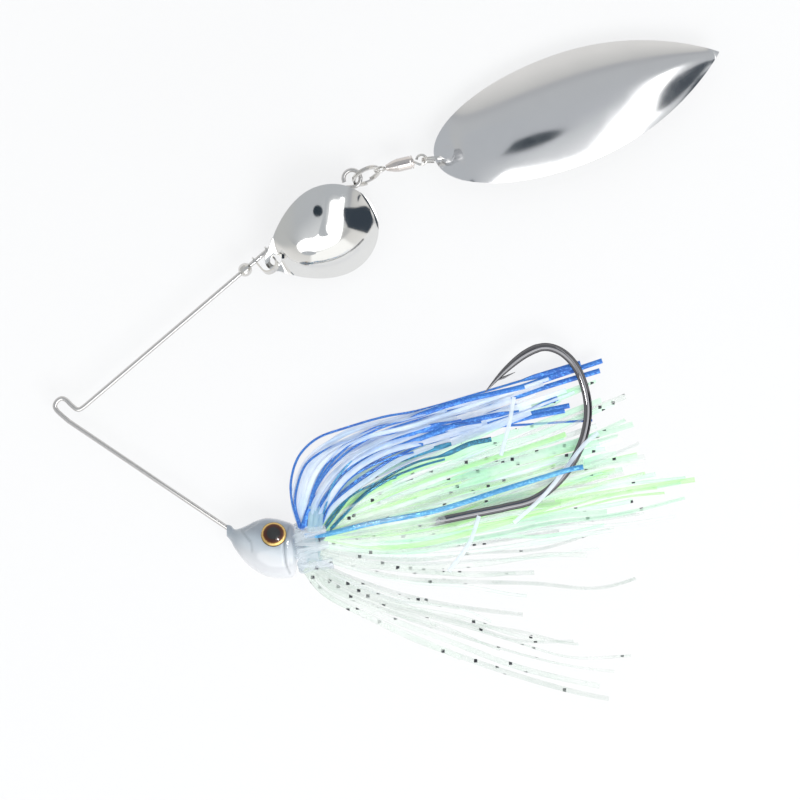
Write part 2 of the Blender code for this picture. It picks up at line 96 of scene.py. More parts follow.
def smooth(points, per_span):
    """A Catmull-Rom curve through points."""
    ends = [points[0] * 2 - points[1], *points, points[-1] * 2 - points[-2]]
    curve = []
    for a, b, c, d in zip(ends, ends[1:], ends[2:], ends[3:]):
        for step in range(per_span):
            t = step / per_span
            bend = a * 2 - b * 5 + c * 4 - d
            twist = b * 3 - a - c * 3 + d
            curve.append((b * 2 + (c - a) * t + bend * t * t + twist * t**3) / 2)
    return curve + [points[-1]]


def blend_step(low, high, value):
    """0 below low, 1 above high, and a smooth step between."""
    t = max(0.0, min(1.0, (value - low) / (high - low)))
    return t * t * (3 - 2 * t)


# Meshes


def skin(bm, rows, capped=True, closed_rows=True):
    """Faces over rows of points, where a row of one point is a pole."""
    rings = [[bm.verts.new(point * MM) for point in row] for row in rows]
    for low, high in zip(rings, rings[1:]):
        count = max(len(low), len(high))
        for k in range(count if closed_rows else count - 1):
            after = (k + 1) % count
            corners = [low[k % len(low)], low[after % len(low)]]
            corners += [high[after % len(high)], high[k % len(high)]]
            bm.faces.new(dict.fromkeys(corners))
    for ring in (rings[0], rings[-1]) if capped else ():
        if len(ring) > 2:
            bm.faces.new(ring)
    return rings


def tube(bm, path, radii, sides):
    """A round wire along a path, with one radius for each point."""
    rows = []
    side = None
    for k, point in enumerate(path):
        tangent = (path[min(k + 1, len(path) - 1)] - path[max(k - 1, 0)]).normalized()
        if side is None:
            side = tangent.orthogonal().normalized()
        side = (side - tangent * side.dot(tangent)).normalized()
        rows.append(arc(point, radii[k], 0, 360, sides, side, tangent.cross(side))[:-1])
    skin(bm, rows)


def mesh_object(bm, name):
    """An object from a bmesh in metres."""
    mesh = bpy.data.meshes.new(name)
    bm.to_mesh(mesh)
    bm.free()
    made = bpy.data.objects.new(name, mesh)
    bpy.context.collection.objects.link(made)
    return made


def piece_from(bm, name, look, body, stands_for=(), sharp=40):
    """A smooth object from a bmesh, riding on a body and standing for CAD nodes."""
    bmesh.ops.recalc_face_normals(bm, faces=bm.faces)
    piece = mesh_object(bm, name)
    piece.data.shade_smooth()
    piece.data.set_sharp_from_angle(angle=math.radians(sharp))
    piece.data.materials.append(look)
    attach(piece, body)
    if stands_for:
        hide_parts(*stands_for)
    return piece


# Materials


class Tree:
    """A node tree under construction, with short ways to add and join nodes."""

    def __init__(self, tree):
        self.nodes = tree.nodes
        self.links = tree.links

    def node(self, kind, **settings):
        """A new node. Settings whose names are sockets go to the sockets, and the rest to the node."""
        made = self.nodes.new(kind)
        for key, value in settings.items():
            if hasattr(made, key):
                setattr(made, key, value)
            else:
                made.inputs[key.replace("_", " ")].default_value = value
        return made

    def join(self, source, target):
        """A link from one socket to another."""
        self.links.new(source, target)

    def maths(self, operation, a, b=None):
        """A maths node on sockets or numbers."""
        made = self.node("ShaderNodeMath", operation=operation)
        for socket, value in zip(made.inputs, (a, b)):
            if isinstance(value, bpy.types.NodeSocket):
                self.join(value, socket)
            elif value is not None:
                socket.default_value = value
        return made.outputs[0]

    def dot(self, vector, axis):
        """How far a vector points along an axis."""
        made = self.node("ShaderNodeVectorMath", operation="DOT_PRODUCT")
        self.join(vector, made.inputs[0])
        made.inputs[1].default_value = axis
        return made.outputs["Value"]

    def ramp(self, factor, stops):
        """A colour ramp with (position, colour) stops."""
        made = self.node("ShaderNodeValToRGB")
        elements = made.color_ramp.elements
        while len(elements) < len(stops):
            elements.new(0.5)
        for element, (position, colour) in zip(elements, stops):
            element.position = position
            element.color = (*colour, 1)
        self.join(factor, made.inputs["Fac"])
        return made.outputs["Color"]

    def range(self, value, low, high, to_low, to_high, smooth_step=False):
        """A value mapped from one range to another, and held at its ends."""
        made = self.node("ShaderNodeMapRange")
        made.interpolation_type = "SMOOTHSTEP" if smooth_step else "LINEAR"
        self.join(value, made.inputs["Value"])
        for name, number in (("From Min", low), ("From Max", high), ("To Min", to_low), ("To Max", to_high)):
            made.inputs[name].default_value = number
        return made.outputs["Result"]

    def mix(self, factor, a, b):
        """A colour between two colours or sockets."""
        made = self.node("ShaderNodeMix", data_type="RGBA")
        for socket, value in ((made.inputs[0], factor), (made.inputs[6], a), (made.inputs[7], b)):
            if isinstance(value, bpy.types.NodeSocket):
                self.join(value, socket)
            elif isinstance(value, (tuple, list)):
                socket.default_value = (*value, 1)
            else:
                socket.default_value = value
        return made.outputs[2]


class Look(Tree):
    """A material under construction. Settings whose names are sockets go to its shader."""

    def __init__(self, name, **settings):
        self.material = bpy.data.materials.new(name)
        self.material.use_nodes = True
        super().__init__(self.material.node_tree)
        self.shader = self.nodes["Principled BSDF"]
        for socket, value in settings.items():
            self.shader.inputs[socket.replace("_", " ")].default_value = value

    def place(self):
        """The piece's own coordinates, in metres."""
        return self.node("ShaderNodeTexCoord").outputs["Object"]

    def noise(self, vector, scale, detail=3.0):
        """Smooth noise, 0 to 1."""
        made = self.node("ShaderNodeTexNoise", Scale=scale, Detail=detail)
        self.join(vector, made.inputs["Vector"])
        return made.outputs["Fac"]

    def bump(self, height, strength, distance):
        """Bumps the shader's normal by a height."""
        made = self.node("ShaderNodeBump", Strength=strength, Distance=distance)
        self.join(height, made.inputs["Height"])
        self.join(made.outputs["Normal"], self.shader.inputs["Normal"])

    def axis(self, vector, name):
        """One component of a vector."""
        made = self.node("ShaderNodeSeparateXYZ")
        self.join(vector, made.inputs[0])
        return made.outputs[name]


def stretched(look, vector, degrees, scale):
    """Coordinates turned about Z and squeezed, so that noise runs along one direction."""
    made = look.node("ShaderNodeMapping", vector_type="TEXTURE")
    look.join(vector, made.inputs["Vector"])
    made.inputs["Rotation"].default_value[2] = math.radians(degrees)
    made.inputs["Scale"].default_value = scale
    return made.outputs["Vector"]


def plated(name, colour, roughness, brushed=0.0, along=0.0, edge=(1.0, 1.0, 1.0)):
    """Bright plate with faint hairlines and patches of handling haze. Its edges reflect the edge tint."""
    look = Look(name, Metallic=1.0, Specular_Tint=(*edge, 1))
    place = look.place()
    haze = look.noise(place, 180.0)
    look.join(look.mix(haze, colour, [c * 0.94 for c in colour]), look.shader.inputs["Base Color"])
    lines = look.noise(stretched(look, place, along, (20.0, 1.0, 1.0)), 9000.0, 2.0)
    spread = look.range(haze, 0.35, 0.7, roughness * 0.85, roughness * 1.25)
    rough = look.maths("ADD", spread, look.maths("MULTIPLY", lines, brushed))
    look.join(rough, look.shader.inputs["Roughness"])
    look.bump(lines, 0.04 + brushed, 0.00002)
    return look.material


def head_paint():
    """Smoky blue-grey on the back that fades to a pearl white belly, under clear gloss. The dark back is
    partly the paint's own tone and partly painted shade on the side turned away from the light, and the
    creases are darkened with painted shade.
    """
    look = Look("pearl_paint", Roughness=0.22, Coat_Weight=1.0, Coat_Roughness=0.05, IOR=1.5)
    place = look.place()
    x, y = look.axis(place, "X"), look.axis(place, "Y")
    cloud = look.noise(place, 260.0, 4.0)
    # The fade to the belly is partly the paint's own tone and partly painted shade, darker on the back that
    # faces away from the light.
    slope, back, cloud_swing, fade_length = -0.25, 0.0156, 0.0022, 0.008
    down = look.maths("SUBTRACT", look.maths("MULTIPLY", x, slope), y)
    down = look.maths("ADD", look.maths("SUBTRACT", down, back), look.maths("MULTIPLY", cloud, cloud_swing))
    stops = [
        (0.06, (0.26, 0.31, 0.37)),
        (0.3, (0.46, 0.53, 0.59)),
        (0.5, (0.6, 0.66, 0.71)),
        (0.68, (0.67, 0.7, 0.73)),
        (0.9, (0.73, 0.75, 0.78)),
    ]
    fade = look.ramp(look.maths("DIVIDE", down, fade_length), stops)
    nose = look.range(x, 0.0342, 0.0372, 1.0, 0.0, True)
    pearl = look.noise(place, 700.0)
    shade = look.mix(look.maths("MULTIPLY", nose, 0.6), fade, (0.25, 0.3, 0.35))
    shade = look.mix(look.maths("MULTIPLY", pearl, 0.12), shade, (0.85, 0.84, 0.9))
    # Painted shade: the creases are darkened by how deep they are.
    crease_shade = look.node("ShaderNodeAttribute", attribute_name="crease_shade").outputs["Fac"]
    shade = look.mix(look.range(crease_shade, 0.02, 0.2, 0.0, 0.4), shade, (0.14, 0.17, 0.2))
    look.join(shade, look.shader.inputs["Base Color"])
    look.bump(look.noise(place, 900.0), 0.08, 0.0001)
    return look.material


def eye_print(centre, out):
    """A printed eye under gloss: a gold ring, a red-brown ring and a dark pupil."""
    look = Look("eye_print", Roughness=0.3, Specular_IOR_Level=0.2, Coat_Weight=0.45, Coat_Roughness=0.02)
    place = look.place()
    offset = look.node("ShaderNodeVectorMath", operation="SUBTRACT")
    look.join(place, offset.inputs[0])
    offset.inputs[1].default_value = centre * MM
    depth = look.dot(offset.outputs[0], out)
    length = look.node("ShaderNodeVectorMath", operation="LENGTH")
    look.join(offset.outputs[0], length.inputs[0])
    squares = [look.maths("MULTIPLY", value, value) for value in (length.outputs["Value"], depth)]
    radius = look.maths("SQRT", look.maths("MAXIMUM", look.maths("SUBTRACT", *squares), 0.0))
    grain = look.noise(place, 2600.0, 4.0)
    radius = look.maths("ADD", radius, look.maths("MULTIPLY", look.maths("SUBTRACT", grain, 0.5), 0.00025))
    share = look.maths("DIVIDE", radius, EYE_DISC_RADIUS * MM)
    stops = [
        (0.0, (0.03, 0.034, 0.035)),
        (0.48, (0.022, 0.024, 0.025)),
        (0.56, (0.05, 0.012, 0.006)),
        (0.74, (0.08, 0.018, 0.008)),
        (0.8, (0.3, 0.14, 0.03)),
        (0.86, (0.8, 0.55, 0.2)),
        (0.93, (0.6, 0.42, 0.14)),
        (0.99, (0.1, 0.065, 0.025)),
    ]
    look.join(look.ramp(share, stops), look.shader.inputs["Base Color"])
    look.join(look.range(share, 0.78, 0.84, 0.0, 0.8), look.shader.inputs["Metallic"])
    look.bump(grain, 0.15, 0.0001)
    return look.material


def silicone(name, deep, pale, alpha, sparkle=None, flake=None, glow=0.25):
    """Stretchy strand silicone with a painted glow of its own colour standing in for light let through: a
    wandering tint, with sparkle or black flake in it.
    """
    look = Look(name, Roughness=0.35, IOR=1.42, Emission_Strength=glow)
    place = look.place()
    tint = look.range(look.noise(place, 90.0), 0.35, 0.65, 0.0, 1.0)
    colour = look.mix(tint, deep, pale)
    if sparkle:
        cells = look.node("ShaderNodeTexVoronoi", Scale=4200.0)
        look.join(place, cells.inputs["Vector"])
        glint = look.range(look.axis(cells.outputs["Color"], "X"), 0.62, 0.8, 0.0, 0.75)
        colour = look.mix(glint, colour, sparkle)
        look.join(glint, look.shader.inputs["Metallic"])
    opacity = look.range(look.noise(place, 300.0), 0.3, 0.7, alpha - 0.08, min(1.0, alpha + 0.08))
    if flake:
        spots = look.node("ShaderNodeTexVoronoi", Scale=flake, distance="CHEBYCHEV")
        look.join(place, spots.inputs["Vector"])
        dot = look.range(spots.outputs["Distance"], 0.115, 0.135, 1.0, 0.0)
        colour = look.mix(dot, colour, (0.015, 0.018, 0.025))
        opacity = look.maths("MAXIMUM", opacity, dot)
    look.join(colour, look.shader.inputs["Base Color"])
    # Painted glow: the silicone shines in its own colour, in place of light passing through it.
    look.join(colour, look.shader.inputs["Emission Color"])
    if alpha < 1:
        look.join(opacity, look.shader.inputs["Alpha"])
    look.bump(look.noise(place, 2500.0), 0.1, 0.00005)
    return look.material


# Sizes shared with the frame

ARM_ANGLE = 40.47
ARM = direction(ARM_ANGLE)
ARM_FOOT = flat((3.2, -1.63))
CLEVIS_AT = 46.87
BOW_RADIUS = 1.63
BOW_HEIGHT = 3.4
BOW_LEAN = math.radians(38)
END_LOOP_RADIUS = 1.7
LOOP_CLEARANCE = 0.03
END_LOOP = ARM_FOOT + ARM * 72.3
TIE_BEND = [
    (1.54, -3.24), (0.38, -2.24), (-0.6, -1.35), (-1.12, -0.62), (-1.2, 0), (-0.85, 0.72), (-0.2, 1.22),
    (0.38, 1.3), (1.08, 0.96), (1.8, 0.24), (2.5, -0.4), (3.14, -0.84), (3.8, -0.84), (4.66, -0.3),
]
HEAD_CORNER = (40.2, -29.23)
WIRE_D = 0.9
SHANK = direction(11.3)
HOOK_EYE = flat((40.4, -30.2))
HOOK_D = 1.65
HEAD_MIDDLE = -28.7
HEAD_ROUNDNESS = 0.82
EYE_AT = (42.7, -25.7, 4.35)
EYE_TILT = 24.0
EYE_DISC_RADIUS = 2.55
EYE_DOME_RADIUS = 5.5
EYE_DOME_TOP = 0.83
STEM_RADIUS = 2.3
BLADE_THICKNESS = 0.5
BLADE_EDGE = 0.12
COLORADO_LENGTH = 24.3
COLORADO_WIDEST = 10.1
COLORADO_CUP = 4.2
COLORADO_FLAT = 3.4
COLORADO_HOLE_AT = 2.2
COLORADO_HOLE_RADIUS = 1.2
COLORADO_ANGLE = 28.0
COLORADO_TILT = 28.0
WILLOW_LENGTH = 60.8
WILLOW_WIDEST = 11.6
WILLOW_CUP = 3.2
WILLOW_FLAT = 4.2
WILLOW_HOLE_AT = 2.6
WILLOW_HOLE_RADIUS = 1.4
WILLOW_ANGLE = 20.9
WILLOW_TILT = -10.0
WILLOW_BASE = (74.85, 48.95)
BOW_OUT = ARM.cross(UP) * math.cos(BOW_LEAN) + UP * math.sin(BOW_LEAN)
BOW_CENTRE = ARM_FOOT + ARM * (CLEVIS_AT + BOW_RADIUS) + BOW_OUT * BOW_HEIGHT


# Head and eyes


def head_row(station, steps):
    """One rounded section of the head."""
    x, top, bottom, half = station
    row = []
    for k in range(steps):
        angle = 2 * math.pi * k / steps
        across = math.copysign(abs(math.cos(angle)) ** HEAD_ROUNDNESS, math.cos(angle))
        rise = math.copysign(abs(math.sin(angle)) ** HEAD_ROUNDNESS, math.sin(angle))
        row.append(Vector((x, (top + bottom) / 2 + rise * (top - bottom) / 2, across * half)))
    return row


def groove(point, start, end, width, depth):
    """How deep a groove along a segment of the side view is at a point."""
    a, b = flat(start), flat(end)
    along = (b - a).normalized()
    here = flat(point) - a
    run = max(0.0, min((b - a).length, here.dot(along)))
    gap = (here - along * run).length
    return depth * math.exp(-((gap / width) ** 2))


def make_head():
    """The painted head, with creases behind the nose, the gill edge and two ridges behind it."""
    stations = [
        Vector(station)
        for station in (
            (33.2, -23.9, -26.3, 1.0),
            (34.0, -24.1, -27.3, 1.5),
            (34.9, -24.8, -28.9, 2.4),
            (36.8, -24.2, -31.3, 3.8),
            (38.8, -23.2, -33.0, 4.6),
            (40.8, -22.6, -34.1, 5.0),
            (42.8, -22.7, -34.6, 5.2),
            (44.8, -23.2, -34.7, 5.1),
            (46.4, -23.9, -34.4, 4.7),
            (47.2, -25.2, -33.2, 3.7),
        )
    ]
    fine = smooth(stations, 8)
    rows = [head_row(station, 72) for station in fine]
    gill = [(45.6, -24.2), (44.9, -26.4), (44.7, -29.0), (45.1, -31.6), (45.9, -33.6)]
    creases = [
        ((36.2, -24.9), (38.2, -27.2), 0.25, 0.2),
        ((36.6, -25.0), (39.2, -23.4), 0.2, 0.16),
        ((38.2, -27.2), (38.4, -29.0), 0.3, 0.14),
        *((start, end, 0.22, 0.22) for start, end in zip(gill, gill[1:])),
    ]
    ridges = [((45.4, -28.6), (45.7, -32.2)), ((46.6, -28.4), (46.8, -32.0))]
    crease_shade_depths = []
    for row in rows:
        for point in row:
            inward = Vector((0, HEAD_MIDDLE - point.y, -point.z)).normalized()
            depth = max(groove(point, *crease) for crease in creases)
            crease_shade_depths.append(depth)
            for start, end in ridges:
                depth -= groove(point, start, end, 0.35, 0.16)
            point += inward * depth
    bm = bmesh.new()
    skin(bm, rows)
    # The creases' depths are kept on the mesh for the paint, which darkens them as painted shade.
    crease_shade = bm.verts.layers.float.new("crease_shade")
    for vertex, depth in zip(bm.verts, crease_shade_depths):
        vertex[crease_shade] = depth
    stem = axes_at(HOOK_EYE, SHANK, UP)
    profile = [(5.0, STEM_RADIUS), (11.6, STEM_RADIUS), (11.9, 2.75), (12.7, 2.6), (13.0, 2.2)]
    stem_rows = [
        arc(stem @ Vector((x, 0, 0)), radius, 0, 360, 40, stem.to_3x3() @ Vector((0, 1, 0)), UP)[:-1]
        for x, radius in profile
    ]
    skin(bm, stem_rows)
    piece_from(bm, "painted_head", head_paint(), "lure_frame", ["head_casting"])


def eye_axes(side):
    """The place of an eye: X points out of the head, tilted a little towards the back of the fish."""
    tilt = math.radians(EYE_TILT)
    out = Vector((0, math.sin(tilt), side * math.cos(tilt)))
    return axes_at(Vector((EYE_AT[0], EYE_AT[1], side * EYE_AT[2])), out, Vector((1, 0, 0)))


def make_eyes():
    """A domed epoxy eye on each side, with its print seen at the surface of the dome."""
    for name, side in (("near", 1), ("far", -1)):
        axes = eye_axes(side)
        look = eye_print(axes.translation, axes.to_3x3() @ Vector((1, 0, 0)))
        rows = []
        radius = EYE_DISC_RADIUS
        profile = [(-0.6, radius), (0.05, radius), (0.2, radius * 0.99)]
        for share in (0.96, 0.85, 0.7, 0.52, 0.35, 0.18):
            ring = radius * share
            profile.append((EYE_DOME_TOP - EYE_DOME_RADIUS + math.sqrt(EYE_DOME_RADIUS**2 - ring**2), ring))
        y_axis = axes.to_3x3() @ Vector((0, 1, 0))
        z_axis = axes.to_3x3() @ UP
        for x, ring in profile:
            rows.append(arc(axes @ Vector((x, 0, 0)), ring, 0, 360, 48, y_axis, z_axis)[:-1])
        rows.append([axes @ Vector((EYE_DOME_TOP, 0, 0))])
        bm = bmesh.new()
        skin(bm, rows)
        nodes = [f"eye_lens_{name}", f"eye_foil_{name}"]
        piece_from(bm, f"epoxy_eye_{name}", look, "lure_frame", nodes)


# Blades


def colorado_width(t):
    """Half the width of the front blade at a share of its length: a pear with a round end."""
    middle = 0.6
    if t > middle:
        return COLORADO_WIDEST * math.sqrt(max(0, 1 - ((t - middle) / (1 - middle)) ** 2))
    wide = COLORADO_WIDEST * max(0, 1 - ((middle - t) / middle) ** 1.85) ** 0.9
    base_radius = 2.6
    x = min(t * COLORADO_LENGTH, base_radius)
    return max(wide, math.sqrt(base_radius**2 - (base_radius - x) ** 2))


def willow_width(t):
    """Half the width of the rear blade at a share of its length: round at the base, pointed at the tip."""
    middle = 0.456
    if t < middle:
        return WILLOW_WIDEST * math.sqrt(max(0, 1 - ((middle - t) / middle) ** 2))
    return WILLOW_WIDEST * max(0, 1 - ((t - middle) / (1 - middle)) ** 2.1) ** 0.93


def cup(length, flat_length, depth):
    """How high a blade rises over its base at x along it and s across it: flat at the base, then cupped."""
    reach, skew, fullness = 0.98, 0.85, 0.8

    def rise(x, s):
        cupped = max(0.0, min(1.0, (x - flat_length) / (reach * length - flat_length)))
        return depth * max(0.0, math.sin(math.pi * cupped**skew)) ** fullness * (1 - s * s)

    return rise


def blade(name, axes, length, width, rise, stations, look, body, hole_at, hole_radius):
    """A pressed blade of even thickness, with rounded edges and a punched hole."""
    lanes = 32
    bm = bmesh.new()
    grid = []
    for k in range(stations + 1):
        t = (1 - math.cos(math.pi * k / stations)) / 2
        half = width(t)
        row = []
        for lane in range(lanes + 1):
            s = -math.cos(math.pi * lane / lanes)
            row.append(Vector((t * length, s * half, rise(t * length, s))))
        grid.append(row if 0 < k < stations else [row[0]])
    rings = skin(bm, [[axes @ point for point in row] for row in grid], capped=False, closed_rows=False)
    bmesh.ops.remove_doubles(bm, verts=bm.verts, dist=1e-7)
    piece = piece_from(bm, name, look, body, [body], sharp=60)
    normal = axes.to_3x3() @ UP
    if piece.data.polygons[len(rings) * lanes // 2].normal.dot(normal) < 0:
        piece.data.flip_normals()
    thick = piece.modifiers.new("thickness", "SOLIDIFY")
    thick.thickness = BLADE_THICKNESS * MM
    thick.offset = -1.0
    drill = bmesh.new()
    centre = axes @ Vector((hole_at, 0, 0))
    across = axes.to_3x3() @ Vector((0, 1, 0))
    along = axes.to_3x3() @ Vector((1, 0, 0))
    rows = [arc(centre + normal * z, hole_radius, 0, 360, 48, along, across)[:-1] for z in (-3, 3)]
    skin(drill, rows)
    bmesh.ops.recalc_face_normals(drill, faces=drill.faces)
    tool = mesh_object(drill, f"{name}_drill")
    cut = piece.modifiers.new("hole", "BOOLEAN")
    cut.operation = "DIFFERENCE"
    cut.object = tool
    edge = piece.modifiers.new("edge", "BEVEL")
    edge.width = BLADE_EDGE * MM
    edge.segments = 2
    edge.limit_method = "ANGLE"
    edge.angle_limit = math.radians(50)
    apply_modifiers(piece)
    bpy.data.objects.remove(tool)
    piece.data.set_sharp_from_angle(angle=math.radians(50))


def apply_modifiers(piece):
    """Turns a piece's modifiers into mesh."""
    evaluated = piece.evaluated_get(bpy.context.evaluated_depsgraph_get())
    mesh = bpy.data.meshes.new_from_object(evaluated)
    piece.modifiers.clear()
    piece.data = mesh


def tilted(along, degrees):
    """The way a blade faces when it lies along a direction and leans to its right."""
    return UP * math.cos(math.radians(degrees)) + along.cross(UP) * math.sin(math.radians(degrees))


def make_blades():
    """The Colorado blade over the wire and the willow blade behind the swivel."""
    along = direction(COLORADO_ANGLE)
    hole = BOW_CENTRE + ARM * BOW_RADIUS
    axes = axes_at(hole - along * COLORADO_HOLE_AT, along, tilted(along, COLORADO_TILT))
    rise = cup(COLORADO_LENGTH, COLORADO_FLAT, COLORADO_CUP)
    chrome = plated("colorado_chrome", (0.77, 0.77, 0.76), 0.085)
    blade("plated_colorado", axes, COLORADO_LENGTH, colorado_width, rise, 48, chrome,
          "colorado_blade", COLORADO_HOLE_AT, COLORADO_HOLE_RADIUS)
    along = direction(WILLOW_ANGLE)
    axes = axes_at(flat(WILLOW_BASE), along, tilted(along, WILLOW_TILT))
    rise = cup(WILLOW_LENGTH, WILLOW_FLAT, WILLOW_CUP)
    nickel = plated("willow_nickel", (0.76, 0.76, 0.765), 0.13, 0.03, WILLOW_ANGLE)
    blade("plated_willow", axes, WILLOW_LENGTH, willow_width, rise, 64, nickel,
          "willow_blade", WILLOW_HOLE_AT, WILLOW_HOLE_RADIUS)


# Hook, wire and fittings


def make_wire():
    """The spring wire: up the lower arm, over the line tie, along the upper arm and round its end loop."""
    reach = END_LOOP_RADIUS + 1.4 * WIRE_D
    lean = math.degrees(math.asin(END_LOOP_RADIUS / reach))
    room = math.degrees(math.acos(1 - 1.25 * WIRE_D / END_LOOP_RADIUS))
    side = ARM.cross(UP) * -1
    loop = arc(END_LOOP, END_LOOP_RADIUS, -90 - lean, 270 - lean - room, 48, ARM, side)
    tie = smooth([flat(point) for point in TIE_BEND], 6)
    path = [flat(HEAD_CORNER), *tie, END_LOOP - ARM * reach, *loop]
    bm = bmesh.new()
    radii = [WIRE_D / 2] * (len(path) - len(loop)) + [WIRE_D / 2 - LOOP_CLEARANCE] * len(loop)
    tube(bm, path, radii, 24)
    look = plated("spring_wire", (0.66, 0.65, 0.64), 0.16, 0.05, ARM_ANGLE, edge=(0.45, 0.45, 0.45))
    piece_from(bm, "spring_wire", look, "lure_frame", ["wire_frame"])


def make_hook():
    """The black nickel hook: a round bend, a tapered point and a barb cut on its inner side."""
    bend = [
        (88, -20.7), (94.8, -18.8), (100.4, -14.2), (104.2, -7.5), (105.4, -0.5), (103.8, 6.1),
        (100.8, 10.1), (97, 11.6), (93.2, 10.4), (89, 7.1), (84.8, 2.6),
    ]
    curve = smooth([flat(point) for point in bend], 10)
    start = [HOOK_EYE + SHANK * x for x in (2.2, 10, 20, 30, 40)]
    path = [*start, *curve]
    taper = 26
    radii = [HOOK_D / 2] * (len(path) - taper)
    radii += [HOOK_D / 2 * (1 - (k / taper) ** 2.4) + 0.05 for k in range(1, taper + 1)]
    bm = bmesh.new()
    tube(bm, path, radii, 24)
    eye = arc(HOOK_EYE, 1.5, 0, 360, 32, SHANK, UP)
    tube(bm, eye, [HOOK_D / 2] * len(eye), 16)
    root = flat((90.9, 6.6))
    barb = axes_at(root, direction(205), UP)
    rows = []
    for x, height, half in ((0.0, 0.03, 0.03), (1.2, 0.14, 0.16), (2.6, 0.24, 0.24), (4.0, 0.08, 0.16)):
        angles = [k * math.pi / 6 for k in range(12)]
        rows.append([barb @ Vector((x, math.cos(a) * height, math.sin(a) * half)) for a in angles])
    skin(bm, rows)
    look = plated("black_nickel", (0.18, 0.18, 0.19), 0.05, edge=(0.0, 0.0, 0.0))
    piece_from(bm, "polished_hook", look, "lure_frame", ["hook"])


def dress_frame_nodes():
    """Materials for the CAD pieces that are shown as they are."""
    bright = plated("bright_nickel", (0.7, 0.69, 0.67), 0.09)
    brass = plated("swivel_plate", (0.68, 0.64, 0.62), 0.14, 0.04)
    band = silicone("band_silicone", (0.3, 0.42, 0.46), (0.45, 0.55, 0.6), 0.8)
    looks = {"swivel_shell": brass, "swivel_end_cap": brass, "skirt_collar": band}
    for name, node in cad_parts.items():
        look = looks.get(name, bright)
        if node.material_slots:
            node.material_slots[0].material = look
        else:
            node.data.materials.append(look)


# Skirt


# Control points of the skirt's outline curves, from the top of the skirt to the bottom
GUIDES = [
    [(47.7, -24.5), (46.3, -18.5), (49, -10.5), (56, -5.5), (68, -1.6), (86, 2.9), (104, 8.3)],
    [(52, -24.6), (56, -20), (62, -15.8), (70, -11.8), (81, -7.5), (95, -2), (109, 5)],
    [(53, -25.2), (60, -23.4), (70, -21), (82, -18), (94, -14.5), (107, -11), (120, -8.5)],
    [(53, -26.8), (62, -26.6), (75, -25), (88, -22), (100, -19.5), (113, -17), (126.5, -14.6)],
    [(51, -28.6), (60, -30.2), (72, -30.6), (84, -29.8), (97, -28.4), (110, -26.6), (124, -24.4)],
    [(49.8, -31), (57, -34.6), (68, -38.6), (80, -41.4), (92, -44), (104, -45.4), (116.4, -44.4)],
    [(48.6, -33), (52.5, -38), (61, -43), (73, -48.5), (87, -54.4), (101, -59), (114.4, -62.4)],
]

# A stretch of X past every tip, for strands that show only their thin edge
EDGE_ONLY = (200, 201)

# Strands on top: their points, the height of the tip, and the stretch of X where the flat side shows
ROYAL_STRANDS = [
    ([(47.8, -24.4), (46.3, -19), (46.2, -14.6), (47.8, -10), (51.4, -6.6), (56.8, -4.6), (64.4, -2.4),
      (71.8, -1), (83.8, 2.4), (104, 8.4)], -2, (95, 110)),
    ([(48.2, -24.4), (47, -20.3), (47.3, -16.5), (49, -12), (52.5, -9.2), (58, -7), (64.5, -5.9),
      (71, -5.2), (76, -4.6), (84, -3.4)], 2, (71, 77)),
    ([(49.5, -24), (50.5, -17), (55, -9.5), (62, -4.9), (68.8, -3), (78.8, 0.4), (92.6, 3.7)], 2.4, (72, 93)),
    ([(49.6, -24), (50.8, -17), (55.6, -9.9), (62.5, -5.2), (71, -2.4), (84, 1.6), (93, 3.9), (104, 8.2)],
     -2, (86, 105)),
    ([(49.8, -24), (51, -17), (56, -10.5), (64, -5.5), (75, -1.9), (86, 1.6), (94.4, 4.2), (108.4, 8.9)],
     -2.6, (94, 109)),
    ([(50.2, -24), (52, -17.5), (57, -11.5), (66, -6.5), (77, -2.6), (88, 0.6), (97, 3.6), (107.9, 6.9)],
     -2.2, (92, 108)),
    ([(50.3, -24), (52.4, -17.5), (57.6, -11.6), (64.4, -8.2), (73.2, -4.5), (80, -3)], 2.4, (63, 74)),
    ([(50.5, -24), (53, -18), (59, -12.4), (66, -8.6), (72, -6.6), (79, -3.9), (85.6, -2.3),
      (91.5, -1.2)], 1.8, (71, 87)),
    ([(50.8, -24.2), (54, -18.4), (60, -13), (68, -9), (74, -6.6), (82, -4.8), (92, -2.2),
      (101.8, -0.1)], -1.6, (72, 103)),
    ([(51, -24.4), (54.5, -19), (61, -13.8), (70, -8.8), (78, -6.2), (86.5, -4.4), (93, -2.6),
      (100.8, -1.1)], -1.4, (75, 102)),
    ([(51, -24.2), (53, -18.6), (60, -12), (75, -6), (87, -3), (94.1, -0.7), (99.4, 1.4)],
     -1, (97, 100)),
    ([(51.2, -24.6), (55, -19), (62, -13.5), (72, -8), (84, -4.8), (95.2, -3.8), (106.4, -3.1)],
     -2.4, EDGE_ONLY),
    ([(49.2, -24.2), (49.5, -21), (51, -18.6), (54, -15.4), (57, -12.9), (60, -10.6), (64, -9.5)],
     3, (50, 62)),
    ([(48.2, -24.8), (48.9, -22.9), (49.6, -20.6)], 3.4, (40, 60)),
    ([(51.4, -24.6), (52.2, -21), (54.2, -17.6), (57.4, -13.9), (61, -11), (65.4, -8.9), (69.8, -8),
      (72.4, -7.9)], 2.6, (59, 70)),
    ([(52, -24.6), (53.6, -20.6), (57, -15.4), (61, -12.6), (66, -10.6), (70.5, -9.4)], 3, EDGE_ONLY),
]
TEAL_STRANDS = [
    ([(52.4, -24.8), (55.4, -20.6), (58.8, -17.6), (63, -15.6), (67.1, -14.4)], 2.8, EDGE_ONLY),
    ([(53, -24.8), (58, -18), (62.8, -13.6), (67.8, -11), (73, -9.2), (78, -7.7)], 2.8, (69, 76)),
    ([(54, -24.6), (62, -16.5), (70, -11.8), (76.7, -9.9), (81.5, -7.8), (86, -6.8)], 2.4, (78, 86)),
    ([(54, -25), (60, -18.6), (66, -14.6), (71.8, -12.2), (76.7, -10.8)], 2.6, EDGE_ONLY),
]
